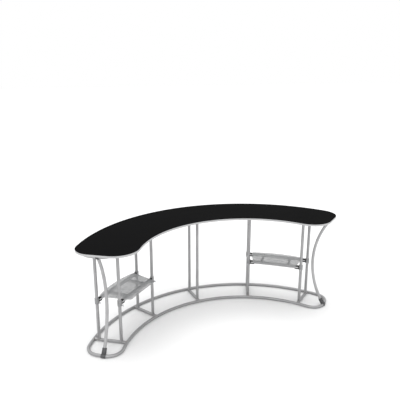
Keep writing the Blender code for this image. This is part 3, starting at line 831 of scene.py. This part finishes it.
class ShelfPlan:
    # u runs along the shelf between its post pairs, v from the staff side to the back
    def __init__(self, first, second):
        self.pairs, middle = (first, second), (first + second) / 2

        def corner(radius, pair):
            lean = math.degrees(math.asin(shelf["endGap"] / radius))
            return circle(radius, pair + math.copysign(lean, middle - pair))

        self.front = [corner(shelf["front"], pair) for pair in self.pairs]
        self.back = [corner(shelf["back"], pair) for pair in self.pairs]
        self.outward = circle(1.0, middle)
        self.length = np.linalg.norm(self.back[1] - self.back[0])
        self.depth = shelf["back"] - shelf["front"]

    def at(self, u, v):
        u = np.asarray(u, float)[..., None]
        lift = 4 * u * (1 - u) * self.outward
        front = self.front[0] * (1 - u) + self.front[1] * u + lift * shelf["frontBow"]
        back = self.back[0] * (1 - u) + self.back[1] * u + lift * shelf["backBow"]
        return front * (1 - v) + back * v

    def outline(self, inset, corner):
        # four sides moved in by the inset, joined by quarter turns; same count at any inset
        side, end = inset / self.length, inset / self.depth
        trim = side + 1.15 * corner / self.length
        run = np.linspace(trim, 1 - trim, 30)
        ends = self.at([side, 1 - side], end), self.at([1 - side, side], 1 - end)
        first, second, third, fourth = np.concatenate(ends)
        front, back = self.at(run, end), self.at(run[::-1], 1 - end)
        return np.concatenate([
            roundCorner(fourth, first, front[0], corner), front,
            roundCorner(front[-1], second, third, corner),
            roundCorner(second, third, back[0], corner), back,
            roundCorner(back[-1], fourth, first, corner)])


def roundCorner(before, point, after, radius, count=9):
    # arc that touches both sides of a corner
    first, second = unit(before - point), unit(after - point)
    half = math.acos(np.clip(first @ second, -1, 1)) / 2
    back = radius / math.tan(half)
    centre = point + unit(first + second) * (radius / math.sin(half))
    return arcPoints(centre, point + first * back, point + second * back, count)


def barBetween(name, start, stop, width, height, radius):
    # a rounded box section swept straight between two points
    way = Way(np.stack([start, (start + stop) / 2, stop]), up)
    piece = Piece(name)
    section = roundedLoop(width, height, radius, 3)
    piece.add(sectionAlong(way, way.mark, section), start="flat", stop="flat")
    return piece.mesh()


def clampPlaces(plan):
    inward = -level3(plan.outward)
    for side, line in (("back", "postOuter"), ("front", "postInner")):
        posts = {pair: polar(joints[line], pair, collarLevel) for pair in plan.pairs}
        far, near = sorted(plan.pairs, key=abs, reverse=True)
        for end, pair, other in (("outer", far, near), ("inner", near, far)):
            yield f"{end}_{side}", posts[pair], unit(posts[other] - posts[pair]), inward


def buildShelf(place, plan):
    wide, tall, step = shelf["bar"], shelf["height"], shelf["lugStep"]
    lift = up * (shelf["level"] + tall / 2 - collarLevel)
    slack, corner, bars, lugs, middles = loop["slack"], shelf["round"], [], [], []
    start, end = shelf["reach"] + slack, shelf["reach"] + wide
    posts = list(clampPlaces(plan))
    for (_, first, along, _), (_, last, _, _) in (posts[:2], posts[2:]):
        near, far = first + lift + along * start, last + lift - along * start
        bars.append(barBetween("bar", near, far, wide, tall, corner))
        middles.append((first + last) / 2 + lift)
        for post, towards in ((first, along), (last, -along)):
            lugs.append(barBetween("lug", post + towards * shelf["lugStart"], post + towards * end,
                                   shelf["lugWidth"], shelf["lug"], shelf["lugRound"]))
    stays = [barBetween("stay", middles[0] + along * offset, middles[1] + along * offset, wide,
                        tall - 2 * step, corner) for offset in (-shelf["stay"], shelf["stay"])]
    show("shelfFrame" + place.title(), combined(bars[0], stays + bars[1:] + lugs), [barMetal],
         "shelf_" + place, [f"shelf_{place}_frame"], sharp=30)

    ease, low = shelf["ease"], shelf["level"] + tall + slack
    high = low + shelf["sheet"]
    profile = [(ease, low), (0.3 * ease, low + 0.3 * ease), (0.0, low + ease), (0.0, high - ease),
               (0.3 * ease, high - 0.3 * ease), (ease, high), (4 * ease, high)]
    rows = np.stack([placed(plan.outline(inset, shelf["corner"] - inset), height)
                     for inset, height in profile])
    sheet = Piece("sheet")
    sheet.add(rows[:-1], start="flat")
    sheet.add(rows[-2:], stop="flat")
    mesh = sheet.mesh()
    mergePoints(mesh)
    choose(mesh, lambda rise: np.abs(rise) < 0.98)
    show("shelfPanel" + place.title(), mesh, [sheetFace, sheetEdge], "shelf_" + place,
         [f"shelf_{place}_panel"], sharp=30)


def mergePoints(mesh):
    work = bmesh.new()
    work.from_mesh(mesh)
    bmesh.ops.remove_doubles(work, verts=work.verts, dist=1e-6)
    work.to_mesh(mesh)
    work.free()


# clamps and their wing screws, made once about the post's axis and copied
clamp = {
    "outer": 0.0205, "bore": 0.0156, "height": 0.056, "jaw": 0.024, "prong": 0.010,
    "slotStart": 0.0255, "throat": 0.002, "root": 0.012, "ease": 0.0009, "boss": 0.007,
    "bossStart": 0.0165, "bossReach": 0.029, "bossEase": 0.0008, "hole": (0.010, 0.040),
    "drop": 0.017, "thread": 0.003, "clearance": 0.0034,
}
screw = {
    "tip": 0.0153, "hubStart": 0.0293, "hub": 0.005, "hubLength": 0.010, "wingStart": 0.0343,
    "wingEnd": 0.0453, "span": 0.024, "thick": 0.0035, "pitch": 0.001, "groove": 0.0003,
}


def turnedSolid(name, start, direction, across, profile, sides, wrapRows=False):
    # distance and radius turned about a straight axis; open profiles end in poles
    length = max(distance for distance, _ in profile) + 0.001
    way = Way(np.stack([start + direction * (length * part) for part in (0, 0.5, 1)]), across)
    distance, radius = np.array(profile).T
    piece = Piece(name)
    grid = ringsAlong(way, distance, radius, sides)
    if wrapRows:
        piece.add(grid, wrapRows=True)
    else:
        ends = way.at(distance[[0, -1]])[0]
        piece.add(grid, start=ends[0], stop=ends[1])
    return piece.mesh()


ahead = np.array([1.0, 0.0, 0.0])


def collarMesh(side):
    # lipped collar with a shallow waist, a bore for the post, a boss for the screw and a plain hole
    # through the wall and boss for it
    height, outer, bore, lip = clamp["height"], clamp["outer"], clamp["bore"], 0.0006
    lower = np.array([(0.0, bore + lip), (0.0, outer - 0.0012), (0.0004, outer - 0.0004),
                      (0.0014, outer), (0.0060, outer), (0.0070, outer - 0.0009),
                      (0.0110, outer - 0.0009), (0.0120, outer)])
    upper = (lower * [-1, 1] + [height, 0])[::-1]
    profile = [*lower, *upper, (height - lip, bore), (lip, bore)]
    body = turnedSolid("collar", -up * height / 2, up, ahead, profile, 56, True)
    axis, start = np.array([0.0, side, 0.0]), -up * clamp["drop"]
    boss, reach = clamp["boss"], clamp["bossReach"]
    root, ease = clamp["bossStart"], clamp["bossEase"]
    post = turnedSolid("boss", start, axis, up, [(root, 0.002), (root, boss), (reach - ease, boss),
                                                 (reach, boss - ease), (reach, 0.003)], 32)
    first, last = clamp["hole"]
    hole = turnedSolid("hole", start, axis, up, [(first, 0.001), (first, clamp["clearance"]),
                                                 (last, clamp["clearance"]), (last, 0.001)], 32)
    return combined(combined(body, [post]), [hole], "DIFFERENCE")


def jawMesh():
    # fork of two prongs, rounded at the tips and hollowed to sit against the collar
    reach, slot = shelf["reach"], clamp["slotStart"]
    gap = shelf["lug"] / 2 + loop["slack"]
    high = gap + clamp["prong"]
    tip = np.radians(np.linspace(-90, 90, 9))
    blunt = clamp["prong"] / 2
    upper = rim(tip, blunt) + [reach - blunt, gap + blunt]
    lower = upper - [0.0, gap + high]
    inner, deep, root = np.radians(np.linspace(-90, -270, 9)), clamp["throat"], clamp["root"]
    throat = np.stack([slot + deep + deep * np.cos(inner), gap * np.sin(inner)], -1)
    plan = np.concatenate([[[root, -high]], lower, throat, upper, [[root, high]]])
    wide, ease = clamp["jaw"] / 2, clamp["ease"]
    rows = []
    for level, shrink in ((-wide, ease), (-wide + 0.3 * ease, 0.3 * ease), (-wide + ease, 0.0),
                          (wide - ease, 0.0), (wide - 0.3 * ease, 0.3 * ease), (wide, ease)):
        smaller = insetPolygon(plan, shrink)
        rows.append(np.stack([smaller[:, 0], np.full(len(plan), -level), smaller[:, 1]], -1))
    fork = Piece("fork")
    fork.add(np.stack(rows), start="flat", stop="flat")
    hollow, half = clamp["outer"] + 0.0002, 0.04
    bite = turnedSolid("bite", -up * half, up, ahead, [(0.0, 0.004), (0.0, hollow),
                                                       (2 * half, hollow), (2 * half, 0.004)], 56)
    return combined(fork.mesh(), [bite], "DIFFERENCE")


def screwMesh():
    # thread: radius lessened by a groove whose depth follows distance over pitch minus turn
    sides = 24
    turn = fullTurn(sides)
    way = Way(np.outer([0.0, 0.03, 0.06], ahead), up)
    first, last = screw["tip"] + 0.0008, screw["hubStart"] + 0.0004
    distance = np.arange(first, last, screw["pitch"] / 6)
    turns = distance[:, None] / screw["pitch"] - turn / (2 * math.pi)
    wave = np.abs((turns % 1.0) * 2 - 1)
    radius = clamp["thread"] - screw["groove"] * wave
    ends = [np.full((1, sides), value) for value in (screw["tip"], screw["hubStart"] + 0.001)]
    marks = np.concatenate([ends[0], np.repeat(distance[:, None], sides, 1), ends[1]])
    radii = np.concatenate([np.full((1, sides), 0.0020), radius, np.full((1, sides), 0.0022)])
    shank = Piece("shank")
    tips = way.at(marks[[0, -1], 0])[0]
    shank.add(ringsAlong(way, marks, radii, sides), start=tips[0], stop=tips[1])
    hub, start = screw["hub"], screw["hubStart"]
    stop = start + screw["hubLength"]
    knob = turnedSolid("hub", np.zeros(3), ahead, up,
                       [(start, 0.002), (start, hub - 0.0005), (start + 0.0005, hub),
                        (start + 0.004, hub * 0.94), (stop - 0.001, hub * 0.80),
                        (stop, hub * 0.66), (stop, 0.001)], 32)
    around = fullTurn(48)
    wide, tall = (screw["wingEnd"] - screw["wingStart"]) / 2, screw["span"] / 2
    ear = np.stack([wide * np.cos(around) * (0.62 + 0.38 * np.sin(around) ** 2),
                    tall * np.sign(np.sin(around)) * np.abs(np.sin(around)) ** 0.82], -1)
    middle, half, rows = (screw["wingEnd"] + screw["wingStart"]) / 2, screw["thick"] / 2, []
    for rise in (-1.0, -0.72, -0.3, 0.3, 0.72, 1.0):
        lost = {1.0: 0.22, 0.72: 0.07, 0.3: 0.0}[abs(rise)]
        rows.append(np.stack([middle + ear[:, 0] * (1 - lost * 0.45),
                              np.full(len(ear), -rise * half), ear[:, 1] * (1 - lost * 0.22)], -1))
    wing = Piece("wing")
    wing.add(np.stack(rows), start="flat", stop="flat")
    return combined(shank.mesh(), [knob, wing.mesh()])


def buildShelves():
    collars = {side: collarMesh(side) for side in (-1, 1)}
    jaw, wingScrew = jawMesh(), screwMesh()
    first, second, _, fourth, fifth = counter["pairs"]
    for place, pairs in (("left", (first, second)), ("right", (fourth, fifth))):
        plan = ShelfPlan(*pairs)
        buildShelf(place, plan)
        for spot, post, towards, inward in clampPlaces(plan):
            title, across = place.title() + spot.title().replace("_", ""), np.cross(up, towards)
            side = 1 if across @ inward > 0 else -1
            show("collar" + title, moved(collars[side], towards, across, up, post), [collarCast],
                 "shelf_" + place, [f"shelf_{place}_clamp_{spot}"], sharp=32)
            show("jaw" + title, moved(jaw, towards, across, up, post), [jawNylon], "shelf_" + place,
                 [f"shelf_{place}_clamp_{spot}"], sharp=32)
            line = post - up * clamp["drop"]
            show("screw" + title, moved(wingScrew, inward, np.cross(up, inward), up, line),
                 [screwSteel], f"screw_{place}_{spot}",
                 [f"shelf_{place}_screw_{spot}"], sharp=32)


buildShelves()
print("shelves: frames, sheets, clamps and screws")

# saddle straps that hold the top loop up to the board
strap = {
    "turns": (-57.3, -40.6, -13.6, 13.6, 40.6, 57.3), "width": 0.020, "thick": 0.0016,
    "flange": 0.015, "bend": 0.004, "screwOut": 0.0255, "headRadius": 0.0042, "headHeight": 0.0022,
}


def buildStraps():
    straps, screws = Piece("worktopStraps"), Piece("worktopStrapScrews")
    section = roundedLoop(strap["thick"], strap["width"], 0.0005, 2)
    head, tall = strap["headRadius"], strap["headHeight"]
    dome = [(0.0, head), (0.3 * tall, head), (0.7 * tall, head * 0.86),
            (0.95 * tall, head * 0.60), (tall, head * 0.34), (0.45 * tall, head * 0.26)]
    distance, radii = np.array(dome).T
    half = strap["thick"] / 2
    radius = loop["tube"] + 0.0003 + half
    ceiling = boardUnder - 0.0002 - half
    drop = ceiling - topLevel
    bend = strap["bend"]
    arc = np.radians(np.linspace(180, 360, 25))
    curve = np.radians(np.linspace(0, 90, 7))
    right = rim(curve, bend) * [-1, 1] + [radius + bend, drop - bend]
    edge = radius + bend + strap["flange"]
    profile = np.concatenate([[[-edge, drop]], (right * [-1, 1])[::-1], rim(arc, radius), right,
                              [[edge, drop]]])
    for turn in strap["turns"]:
        outward = level3(circle(1.0, turn))
        along = np.cross(up, outward)
        for line in ("outer", "inner"):
            middle = polar(loop[line], turn, topLevel)
            way = Way(middle + profile @ np.array([outward, up]), along)
            straps.add(sectionAlong(way, way.mark, section), start="flat", stop="flat")
            for side in (-1, 1):
                seat = middle + outward * side * strap["screwOut"] + up * (drop - half)
                axis = Way(np.stack([seat, seat - up * 0.005, seat - up * 0.01]), outward)
                ring = ringsAlong(axis, distance, radii, 24)
                screws.add(ring, start=seat, stop=seat - up * (0.45 * tall))
    for piece in (straps, screws):
        show(piece.name, piece.mesh(), [screwSteel], "counter", sharp=32)


buildStraps()
print("straps: under the board")

# studio: pale floor, white surround, a high soft light and a broad one from the staff side
studio = {
    "floor": (0.86, 0.86, 0.86), "floorHalf": 60.0, "surround": 1.0, "keyPower": 160.0,
    "keySize": 9.0, "keyPlace": (-4.5, -6.5, 6.0), "keyAim": (0.0, 0.0, 0.4), "highPower": 1.3,
    "highAngle": 50.0, "highTilt": -8.0,
}
view = {"sensor": 36.0, "lens": 42.984, "clip": (0.05, 200.0), "place": (-1.9442, -4.2201, 2.5012),
        "turns": (74.6087, 0.0, -23.9344)}


def buildFloor():
    line = np.linspace(-studio["floorHalf"], studio["floorHalf"], 13)
    grid = np.stack([*np.meshgrid(line, line, indexing="xy"), np.zeros((13, 13))], -1)
    floor = Piece("floor")
    floor.add(grid, wrapColumns=False)
    mesh = floor.mesh()
    look = Finish("studioFloor", shine=0.0)
    darker = [part * 0.997 for part in studio["floor"]]
    look.link("Base Color", look.blend(look.noise(3.0), darker, studio["floor"]))
    look.shader.inputs["Roughness"].default_value = 0.9
    mesh.materials.append(look.material)
    shown = linked("floor", mesh)


def keyLight():
    light = bpy.data.lights.new("keyLight", "AREA")
    light.shape, light.size, light.energy = "DISK", studio["keySize"], studio["keyPower"]
    forward = unit(np.subtract(studio["keyAim"], studio["keyPlace"]))
    side = unit(np.cross(forward, up))
    turned = axesMatrix(side, np.cross(side, forward), -forward, studio["keyPlace"])
    linked("keyLight", light).matrix_world = turned


def highLight():
    # wide overhead sun: it lifts the open floor and leaves the worktop a soft shadow
    light = bpy.data.lights.new("highLight", "SUN")
    light.energy, light.angle = studio["highPower"], math.radians(studio["highAngle"])
    linked("highLight", light).rotation_euler = (math.radians(studio["highTilt"]), 0.0, 0.0)


def buildWorld():
    world = bpy.data.worlds.new("studio")
    bpy.context.scene.world = world
    world.use_nodes = True
    sky = world.node_tree.nodes["Background"]
    sky.inputs["Color"].default_value = (1, 1, 1, 1)
    sky.inputs["Strength"].default_value = studio["surround"]


def buildCamera():
    lens = bpy.data.cameras.new("camera")
    lens.sensor_width, lens.lens = view["sensor"], view["lens"]
    lens.clip_start, lens.clip_end = view["clip"]
    shown = linked("camera", lens)
    shown.location = view["place"]
    shown.rotation_euler = [math.radians(turn) for turn in view["turns"]]
    bpy.context.scene.camera = shown


buildFloor()
buildWorld()
highLight()
keyLight()
buildCamera()
bpy.context.scene.view_settings.view_transform = "Standard"
print("studio: floor, light and camera")
